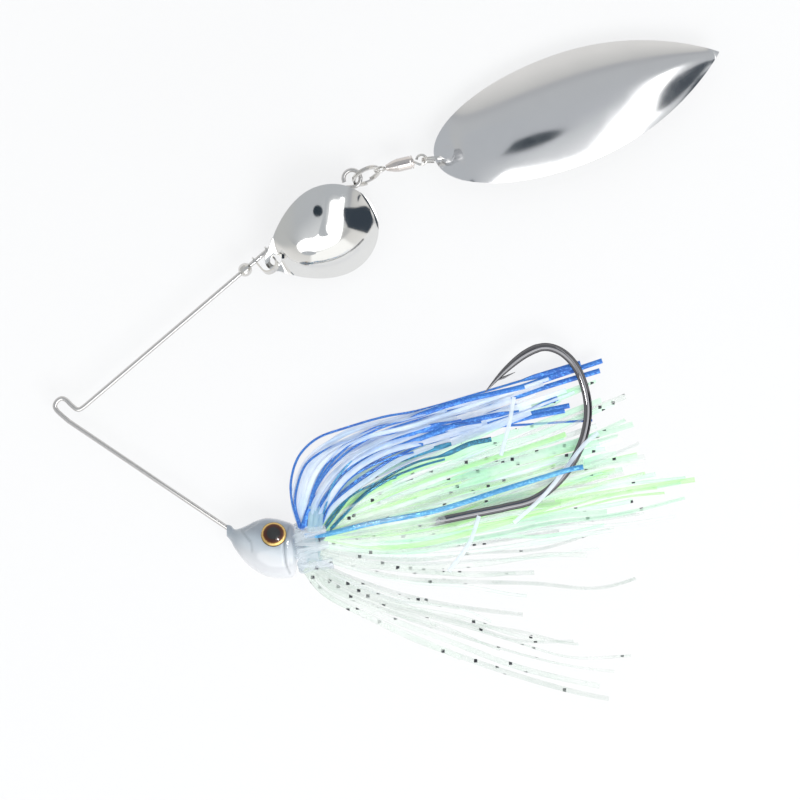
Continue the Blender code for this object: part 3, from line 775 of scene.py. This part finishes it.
SKY_STRANDS = [
    ([(48.8, -26), (52.5, -25.8), (58, -24.5), (62.6, -23.4), (75.3, -20.9), (88, -16.9), (100.5, -13.1),
      (104.2, -12.3)], 3.9, (40, 110)),
    ([(52.2, -22.8), (53.4, -19), (54.8, -15.2), (58.2, -11)], 4.4, EDGE_ONLY),
]

LIME_STRANDS = [
    ([(53, -26.2), (65, -26), (80, -23.6), (97.6, -19.6), (112, -17.2), (127, -15)], -2.6, (90, 130)),
    ([(54, -25.2), (60, -22.6), (66, -19.6), (72, -17.6), (80, -15.4)], 2.6, (58, 72)),
    ([(53, -27), (62, -28.4), (72, -27.8), (82, -25.6), (92, -22.6), (104, -18.5)], -2, (64, 94)),
    ([(54, -25), (66, -20), (80, -14.6), (93.4, -11.2), (106, -7.8)], -2.4, (88, 108)),
    ([(53, -24.8), (64, -12.5), (80, -4.4), (97.6, 1.3), (103.5, 3)], -2.8, (95, 105)),
    ([(54, -26), (70, -23), (88, -19.5), (102.6, -16), (111, -13)], -3, (84, 112)),
    ([(53, -26.6), (66, -25.6), (78, -22), (88, -17.6), (97, -15)], -2.2, (66, 90)),
]

# Loose pale strands that lie across the others, with their heights
CROSSING_STRANDS = [
    ([(90.4, 1.6), (89.4, -4), (87.8, -10)], 4.9),
    ([(83.5, -22), (81.5, -27.5), (77.5, -33)], 4.6),
    ([(90.5, -23.5), (97, -17.5), (103.9, -8.6), (107.3, -5.5)], 2),
]

STRAND_WIDTH = 1.02
STRAND_THICKNESS = 0.42
ROOT_Z = 2.6
SHOWN_ROOT_Z = 2.8
CROSSES_HOOK = (66.0, 84.0)


def strand_section(point, tangent, width, roll, up):
    """Eight corners of a flat strand with softened edges, turned about its own length."""
    side = up.cross(tangent).normalized()
    above = tangent.cross(side)
    wide = (side * math.cos(roll) + above * math.sin(roll)) * width / 2
    thin = (above * math.cos(roll) - side * math.sin(roll)) * STRAND_THICKNESS / 2
    corners = ((1, 0.5), (0.75, 1), (-0.75, 1), (-1, 0.5), (-1, -0.5), (-0.75, -1), (0.75, -1), (1, -0.5))
    return [point + wide * u + thin * v for u, v in corners]


def ribbon(bm, path, width, rolls, up=UP):
    """A cut strand along a path, with its turn at each point."""
    rows = []
    for k, point in enumerate(path):
        tangent = (path[min(k + 1, len(path) - 1)] - path[max(k - 1, 0)]).normalized()
        rows.append(strand_section(point, tangent, width, rolls[k], up))
    skin(bm, rows)


def with_heights(curve, root_z, level, tip_z):
    """A flat curve lifted from the collar to a level over the shank, and down to its tip past the hook."""
    low, high = CROSSES_HOOK
    path = []
    for k, point in enumerate(curve):
        rise = blend_step(0, len(curve) * 0.3, k)
        fall = blend_step(low, high, point.x)
        z = root_z + (level - root_z) * rise
        path.append(Vector((point.x, point.y, z + (tip_z - z) * fall)))
    return path


def between(share, reach, rng, wander):
    """A curve between two neighbouring guides, cut off at a share of their length."""
    index = min(int(share), len(GUIDES) - 2)
    part = share - index
    points = []
    for k, (a, b) in enumerate(zip(GUIDES[index], GUIDES[index + 1])):
        loose = wander * k / (len(GUIDES[index]) - 1)
        shift = Vector((rng.uniform(-loose, loose), rng.uniform(-loose, loose), 0))
        points.append(flat(a).lerp(flat(b), part) + shift)
    curve = smooth(points, 9)
    return curve[: max(6, round(len(curve) * reach))]


def strand_piece(bm, name, look, nodes=()):
    """A piece of cut strands, with crisp edges."""
    return piece_from(bm, name, look, "lure_frame", nodes, sharp=50)


def family(name, look, nodes, groups, rng):
    """Strands of one colour as one piece.

    Each group is (count, first and last share, reach, level, tip, wander).
    """
    bm = bmesh.new()
    for count, first, last, reach, level, tip, wander in groups:
        for k in range(count):
            share = first + (last - first) * (k + rng.uniform(0.2, 0.8)) / count
            curve = between(share, rng.uniform(*reach), rng, wander)
            root = math.copysign(ROOT_Z, level[0])
            path = with_heights(curve, root, rng.uniform(*level), rng.uniform(*tip))
            start, turn = rng.uniform(-0.9, 0.9), rng.uniform(-1.6, 1.6)
            rolls = [start + turn * j / len(path) for j in range(len(path))]
            ribbon(bm, path, STRAND_WIDTH * rng.uniform(0.85, 1.2), rolls)
    milky(strand_piece(bm, name, look, nodes))


def milky(piece):
    """Lets light through to what is behind a milky piece, as thin silicone does."""
    piece.visible_shadow = False
    piece.visible_diffuse = False
    piece.visible_glossy = False


def shown_strands(bm, strands, level, rng):
    """Strands that show their thin edge, and their flat side over one stretch."""
    edge_on = math.radians(84)
    for k, (points, tip, (first, last)) in enumerate(strands):
        curve = smooth([flat(point) for point in points], 9)
        path = with_heights(curve, SHOWN_ROOT_Z, level + 0.9 * (k % 4) / 3, tip)
        rolls = []
        for point in path:
            shown = blend_step(first - 3, first + 1, point.x) * (1 - blend_step(last - 1, last + 4, point.x))
            rolls.append(edge_on * (1 - shown) + rng.uniform(-0.03, 0.03))
        ribbon(bm, path, STRAND_WIDTH, rolls)


def make_blue(rng):
    """The royal, teal and sky blue strands on top, and a few more royal ones on the far side."""
    bm = bmesh.new()
    shown_strands(bm, ROYAL_STRANDS, 3.2, rng)
    for k in range(2):
        curve = between(0.3 + 0.3 * k, rng.uniform(0.7, 0.95), rng, 1.2)
        path = with_heights(curve, -ROOT_Z, rng.uniform(-4.2, -2.4), rng.uniform(-4.2, -3.0))
        start = rng.uniform(-1.0, 1.0)
        ribbon(bm, path, STRAND_WIDTH, [start + 0.04 * j for j in range(len(path))])
    deep, pale = (0.025, 0.13, 0.55), (0.04, 0.21, 0.64)
    look = silicone("royal_silicone", deep, pale, 0.93, (0.1, 0.3, 0.7), glow=0.05)
    nodes = ["skirt_blue_near", "skirt_blue_far"]
    strand_piece(bm, "royal_strands", look, nodes).visible_glossy = False
    bm = bmesh.new()
    shown_strands(bm, TEAL_STRANDS, 3.2, rng)
    look = silicone("teal_silicone", (0.012, 0.11, 0.2), (0.04, 0.24, 0.4), 0.85, (0.05, 0.3, 0.5), glow=0.05)
    strand_piece(bm, "teal_strands", look)
    bm = bmesh.new()
    shown_strands(bm, SKY_STRANDS, 3.9, rng)
    look = silicone("sky_silicone", (0.035, 0.23, 0.55), (0.1, 0.38, 0.66), 0.9, (0.2, 0.5, 0.72), glow=0.08)
    strand_piece(bm, "sky_strands", look)


def make_crossing():
    """The loose pale strands that lie across the rest."""
    bm = bmesh.new()
    for points, level in CROSSING_STRANDS:
        curve = smooth([flat(point) for point in points], 8)
        path = [Vector((point.x, point.y, level)) for point in curve]
        ribbon(bm, path, STRAND_WIDTH * 0.8, [0.1] * len(path))
    look = silicone("loose_silicone", (0.6, 0.7, 0.78), (0.72, 0.79, 0.84), 0.6)
    milky(strand_piece(bm, "loose_strands", look))


def make_root(rng):
    """The strands' folded front ends round the collar, and the short tabs that stand up beside it."""
    axes = axes_at(HOOK_EYE, SHANK, UP)
    turn = axes.to_3x3()
    bm = bmesh.new()
    folds = 30
    for k in range(folds):
        around = 2 * math.pi * (k + rng.uniform(-0.3, 0.3)) / folds
        out = turn @ Vector((0, math.cos(around), math.sin(around)))
        swell = rng.uniform(-0.25, 0.35)
        outline = [(11.0, 3.75), (8.6, 3.7), (7.4, 3.7), (6.9, 4.05 + swell)]
        outline += [(7.7, 4.5 + swell), (10.0, 4.4), (13.5, 4.2)]
        side = rng.uniform(-0.16, 0.16)
        curve = smooth([axes @ Vector((x, 0, 0)) + out * radius for x, radius in outline], 5)
        sway = out.cross(SHANK)
        curve = [point + sway * side * j for j, point in enumerate(curve)]
        ribbon(bm, curve, STRAND_WIDTH * rng.uniform(0.7, 1.3), [rng.uniform(-0.3, 0.3)] * len(curve), up=out)
    look = silicone("root_silicone", (0.6, 0.67, 0.72), (0.74, 0.78, 0.82), 0.36, glow=0.06)
    milky(strand_piece(bm, "folded_roots", look))
    bm = bmesh.new()
    for k, x in enumerate((49.9, 50.9, 51.9)):
        points = ((x, -25.2, 3.4), (x + 0.1, -22.5, 3.6), (x + 0.3, -19.4 + 0.3 * k, 3.2))
        curve = smooth([Vector(point) for point in points], 6)
        ribbon(bm, curve, STRAND_WIDTH, [0.08] * len(curve))
    look = silicone("tab_silicone", (0.25, 0.42, 0.5), (0.42, 0.56, 0.64), 0.7)
    milky(strand_piece(bm, "root_tabs", look))


def make_skirt():
    """Blue over lavender over mint and chartreuse over clear, on both sides of the hook."""
    rng = random.Random(7)
    make_blue(rng)
    mint = silicone("mint_silicone", (0.44, 0.84, 0.56), (0.66, 0.9, 0.72), 0.45, flake=360.0)
    groups = [
        (18, 0.7, 2.2, (0.75, 1.0), (1.2, 2.8), (-2.6, -1.4), 1.2),
        (8, 2.2, 3.8, (0.6, 1.0), (1.2, 2.8), (-3.4, -1.8), 1.4),
        (12, 0.5, 3.4, (0.7, 1.0), (-3.8, -1.4), (-4.4, -2.6), 1.6),
    ]
    family("mint_strands", mint, (), groups, rng)
    green = silicone("chartreuse_silicone", (0.4, 0.84, 0.3), (0.52, 0.88, 0.42), 0.55)
    groups = [
        (3, 1.0, 1.5, (0.35, 1.0), (2.2, 3.0), (-2.6, -1.4), 1.0),
        (6, 1.6, 2.4, (0.6, 1.0), (1.8, 2.8), (-3.4, -1.8), 1.2),
        (5, 2.6, 3.2, (0.5, 1.0), (2.0, 3.0), (-3.4, -1.6), 1.4),
        (6, 1.0, 3.3, (0.7, 1.0), (-3.8, -2.2), (-4.4, -3.0), 1.6),
    ]
    nodes = ["skirt_chartreuse_near", "skirt_chartreuse_far"]
    family("chartreuse_strands", green, nodes, groups, rng)
    bm = bmesh.new()
    shown_strands(bm, LIME_STRANDS, 2.6, rng)
    lime = silicone("lime_silicone", (0.4, 0.82, 0.3), (0.56, 0.88, 0.46), 0.5)
    milky(strand_piece(bm, "lime_strands", lime))
    pearl = silicone("pearl_silicone", (0.52, 0.67, 0.84), (0.8, 0.86, 0.93), 0.5)
    groups = [
        (20, 0.02, 0.95, (0.7, 0.95), (1.4, 3.2), (-1.4, 0.8), 1.2),
        (6, 0.1, 0.9, (0.5, 0.9), (4.1, 4.7), (0.0, 1.0), 1.6),
        (7, 0.1, 2.4, (0.6, 0.95), (-4.2, -2.2), (-4.6, -3.2), 1.6),
    ]
    family("pearl_strands", pearl, ["skirt_pearl_near", "skirt_pearl_far"], groups, rng)
    white = silicone("white_silicone", (0.68, 0.8, 0.74), (0.8, 0.86, 0.82), 0.36, glow=0.16)
    groups = [
        (9, 1.2, 3.2, (0.6, 1.0), (2.8, 4.2), (-2.8, -1.2), 1.4),
        (4, 3.2, 4.4, (0.6, 1.0), (1.6, 3.6), (-4.2, -2.8), 1.6),
        (4, 3.4, 5.4, (0.6, 0.95), (-4.0, -2.2), (-4.6, -3.2), 1.8),
    ]
    family("white_strands", white, (), groups, rng)
    clear = silicone("flake_silicone", (0.58, 0.68, 0.61), (0.75, 0.81, 0.76), 0.28, flake=360.0, glow=0.1)
    groups = [
        (8, 1.2, 3.2, (0.7, 1.0), (3.0, 4.4), (-2.4, -1.2), 1.2),
        (7, 3.3, 4.6, (0.6, 1.0), (2.4, 4.0), (-4.0, -2.6), 1.6),
        (6, 4.8, 6.0, (0.45, 1.0), (0.8, 3.6), (-4.6, -3.0), 1.6),
        (4, 4.2, 5.8, (0.6, 1.0), (-4.0, -1.4), (-4.6, -3.6), 1.8),
        (3, 5.2, 6.0, (0.92, 1.0), (0.8, 2.4), (-4.6, -3.4), 0.8),
    ]
    family("flake_strands", clear, ["skirt_clear_near", "skirt_clear_far"], groups, rng)
    make_crossing()
    make_root(rng)


# Stage, light and camera

VIEW_CENTRE = (67.8, 1.0)
VIEW_WIDTH = 160.0
CAMERA_HEIGHT = 600.0
SENSOR = 36.0
KEY_AT = (330.0, -420.0, 700.0)
KEY_SIZE = 420.0
KEY_POWER = 3.4
TABLE_HALF = 1500.0
TABLE_DROP = 95.0
TABLE_GLOW = 0.625
SHEET_ALPHA = 0.5


def make_camera():
    """A long lens straight above the lure."""
    data = bpy.data.cameras.new("camera")
    data.sensor_width = SENSOR
    data.lens = SENSOR * CAMERA_HEIGHT / VIEW_WIDTH
    data.clip_start = 0.01
    data.clip_end = 10
    camera = bpy.data.objects.new("camera", data)
    camera.location = Vector((*VIEW_CENTRE, CAMERA_HEIGHT)) * MM
    bpy.context.collection.objects.link(camera)
    bpy.context.scene.camera = camera


def sheet_object(name, corners, look):
    """A flat polygon of the stage."""
    bm = bmesh.new()
    bm.faces.new([bm.verts.new(Vector(corner) * MM) for corner in corners])
    made = mesh_object(bm, name)
    made.data.materials.append(look)
    return made


def make_floor():
    """A milky sheet that the lure lies on, over a table top that the hanging blades stay clear of."""
    milk = {
        "Base_Color": (0.36, 0.362, 0.365, 1),
        "Roughness": 0.8,
        "Specular_IOR_Level": 0.1,
        "Emission_Color": (0.997, 0.998, 1.0, 1),
        "Emission_Strength": TABLE_GLOW,
    }
    for name, z, alpha in (("milky_sheet", FLOOR_Z, SHEET_ALPHA), ("table_top", FLOOR_Z - TABLE_DROP, 1.0)):
        corners = [(TABLE_HALF * x, TABLE_HALF * y, z) for x, y in ((-1, -1), (1, -1), (1, 1), (-1, 1))]
        sheet_object(name, corners, Look(name, Alpha=alpha, **milk).material)


def glowing(name, colour, strength):
    """A surface that only shines."""
    dark = {"Base_Color": (0, 0, 0, 1), "Roughness": 1.0, "Specular_IOR_Level": 0.0}
    return Look(name, Emission_Color=(*colour, 1), Emission_Strength=strength, **dark).material


# Outlines of the window as it is seen from near and from far, and of what stands in front of it
WINDOW_NEAR = (
    (76, 15), (97, 7), (117, 2), (135, 5), (142, 28), (142, 54), (140, 82), (140, 105), (146, 120),
    (156, 128), (158, 93), (162, 62), (166, 32), (178, 10), (203, -51), (212, -118), (130, -153),
    (53, -172), (-29, -190), (-36, -96), (7, -40), (57, -31), (74, -10),
)
WINDOW_FAR = (
    (192, 104), (190, 66), (190, 27), (190, -30), (200, -85), (240, -110), (290, -60), (315, 20), (312, 96),
    (240, 112),
)
BRIGHT_PANES = (
    ((146, -60), (154, -60), (154, 90), (146, 90)),
    ((84, -92), (154, -92), (154, -60), (84, -76)),
)
DARK_STRIP = (
    (136, 67), (138, 76), (143, 82), (150, 84), (158, 80), (160, 68), (157, 58), (150, 50), (143, 48),
    (139, 56),
)
GREY_FLAG = (
    (56, 22), (57.5, 32), (59.5, 42), (59, 66), (68, 72), (86, 70), (86, 58), (82, 48.5), (76, 48),
    (68, 49.5), (63, 46), (61.5, 37), (64, 25), (68, 18), (60, 18),
)

# The doorway stands upright at an X of its own, and its outline is in Y and Z
DOORWAY = ((-70, -8), (50, -8), (44, 60), (40, 130), (56, 244), (-4, 215), (-59, 146))
DOORWAY_X = 300.0

# Heights of the flat cards over the wire's plane, and the places of the round ones
NEAR, FAR, PANES, STRIP, FLAG = 110.0, 300.0, 108.0, 45.0, 30.0
LENS_AT = (71.0, 54.0, 240.0)
LENS_AXES = ((38.0, -8.0, 0.0), (6.0, 25.0, 0.0))
LAMP_AT, LAMP_RADIUS, LAMP_POWER = (61.5, -8.0, 60.0), 4.5, 60.0
LOW_FLAG_AT, LOW_FLAG_RADIUS = (48.6, 18.5, 10.0), 4.0


def rounded(outline, height):
    """A smooth closed curve through the corners of an outline, at a height."""
    per_span = 6
    corners = [Vector((x, y, height)) for x, y in outline]
    curve = smooth([corners[-1], *corners, corners[0], corners[1]], per_span)
    return curve[per_span : per_span * (len(corners) + 1)]


def make_cards():
    """What the bright metal reflects from close by: a window, a lamp, dark openings and the lens overhead."""
    lens = arc(Vector(LENS_AT), 1.0, 0, 360, 32, *map(Vector, LENS_AXES))[:-1]
    lamp = arc(Vector(LAMP_AT), LAMP_RADIUS, 0, 360, 16)[:-1]
    low_flag = arc(Vector(LOW_FLAG_AT), LOW_FLAG_RADIUS, 0, 360, 24)[:-1]
    window = glowing("window_light", (1.0, 1.0, 1.0), 2.4)
    bright = glowing("pane_light", (1.0, 1.0, 1.0), 4.5)
    dark = glowing("dark_light", (0.045, 0.06, 0.08), 1.0)
    grey = glowing("flag_light", (0.56, 0.585, 0.615), 1.0)
    lens_dark = glowing("lens_dark", (0.03, 0.045, 0.06), 1.0)
    lamp_light = glowing("lamp_light", (1.0, 0.98, 0.95), LAMP_POWER)
    panes = [[(x, y, PANES) for x, y in corners] for corners in BRIGHT_PANES]
    for name, corners, look in (
        ("window_near", rounded(WINDOW_NEAR, NEAR), window),
        ("window_far", rounded(WINDOW_FAR, FAR), window),
        ("dark_strip", rounded(DARK_STRIP, STRIP), dark),
        ("grey_flag", rounded(GREY_FLAG, FLAG), grey),
        ("dark_doorway", [(DOORWAY_X, y, z) for y, z in DOORWAY], dark),
        ("lens_overhead", lens, lens_dark),
        ("lamp", lamp, lamp_light),
        ("grey_flag_low", low_flag, grey),
        ("bright_pane_0", panes[0], bright),
        ("bright_pane_1", panes[1], bright),
    ):
        card = sheet_object(name, corners, look)
        card.visible_camera = False
        card.visible_diffuse = False
        card.visible_shadow = False
        card.visible_transmission = False


# Azimuth, angle from straight up, half width, half height, softness, colour
ROOM_SHAPES = (
    (180, 64, 0.9, 0.4, 0.25, (0.6, 0.61, 0.61)),
    (-60, 26, 0.8, 0.35, 0.4, (0.8, 0.82, 0.84)),
    (-62, 58, 0.7, 0.1, 0.05, (0.58, 0.58, 0.58)),
    (-64, 80, 0.5, 0.3, 0.05, (1.27, 1.27, 1.25)),
)

# Angle from straight up, and the colour of the room there
ROOM_RINGS = (
    (0, (0.56, 0.585, 0.62)),
    (46, (0.57, 0.59, 0.61)),
    (54, (0.47, 0.485, 0.51)),
    (56.5, (0.66, 0.66, 0.65)),
    (75, (0.88, 0.87, 0.85)),
    (92, (0.96, 0.95, 0.93)),
)


def panel(room, way, colour, azimuth, from_top, half_across, half_up, softness, light):
    """A soft-edged panel on the room's wall."""
    out = direction(azimuth)
    polar = math.radians(from_top)
    centre = out * math.sin(polar) + UP * math.cos(polar)
    side = UP.cross(out)
    ahead = room.maths("MAXIMUM", room.dot(way, centre), 0.001)
    seen = room.range(ahead, 0.01, 0.09, 0.0, 1.0, True)
    for axis, half in ((side, half_across), (centre.cross(side), half_up)):
        offset = room.maths("ABSOLUTE", room.maths("DIVIDE", room.dot(way, axis), ahead))
        inside = room.range(offset, half + softness, half - softness, 0.0, 1.0, True)
        seen = room.maths("MULTIPLY", seen, inside)
    return room.mix(seen, colour, light)


def make_world():
    """A pale room with a grey ceiling, light walls and one bright wall panel."""
    world = bpy.data.worlds.new("room")
    bpy.context.scene.world = world
    world.use_nodes = True
    room = Tree(world.node_tree)
    way = room.node("ShaderNodeTexCoord").outputs["Generated"]
    angle = room.maths("ARCCOSINE", room.dot(way, UP))
    rings = [(degrees / 180, colour) for degrees, colour in ROOM_RINGS]
    colour = room.ramp(room.maths("DIVIDE", angle, math.pi), rings)
    for shape in ROOM_SHAPES:
        colour = panel(room, way, colour, *shape)
    room.join(colour, room.nodes["Background"].inputs["Color"])


def make_light():
    """Soft daylight from the lower right, for matt surfaces only, so that it draws no lamp in the metal."""
    data = bpy.data.lights.new("key", "AREA")
    data.size = KEY_SIZE * MM
    data.energy = KEY_POWER
    light = bpy.data.objects.new("key", data)
    light.location = Vector(KEY_AT) * MM
    light.rotation_mode = "QUATERNION"
    target = Vector((*VIEW_CENTRE, 0)) * MM
    light.rotation_quaternion = (light.location - target).to_track_quat("Z", "Y")
    light.visible_glossy = False
    light.visible_camera = False
    bpy.context.collection.objects.link(light)


bpy.context.scene.view_settings.view_transform = "Standard"
bpy.context.scene.cycles.transparent_max_bounces = 48
bpy.context.scene.cycles.caustics_reflective = False
make_camera()
make_floor()
make_cards()
make_world()
make_light()
make_head()
make_eyes()
make_blades()
make_wire()
make_hook()
dress_frame_nodes()
make_skirt()
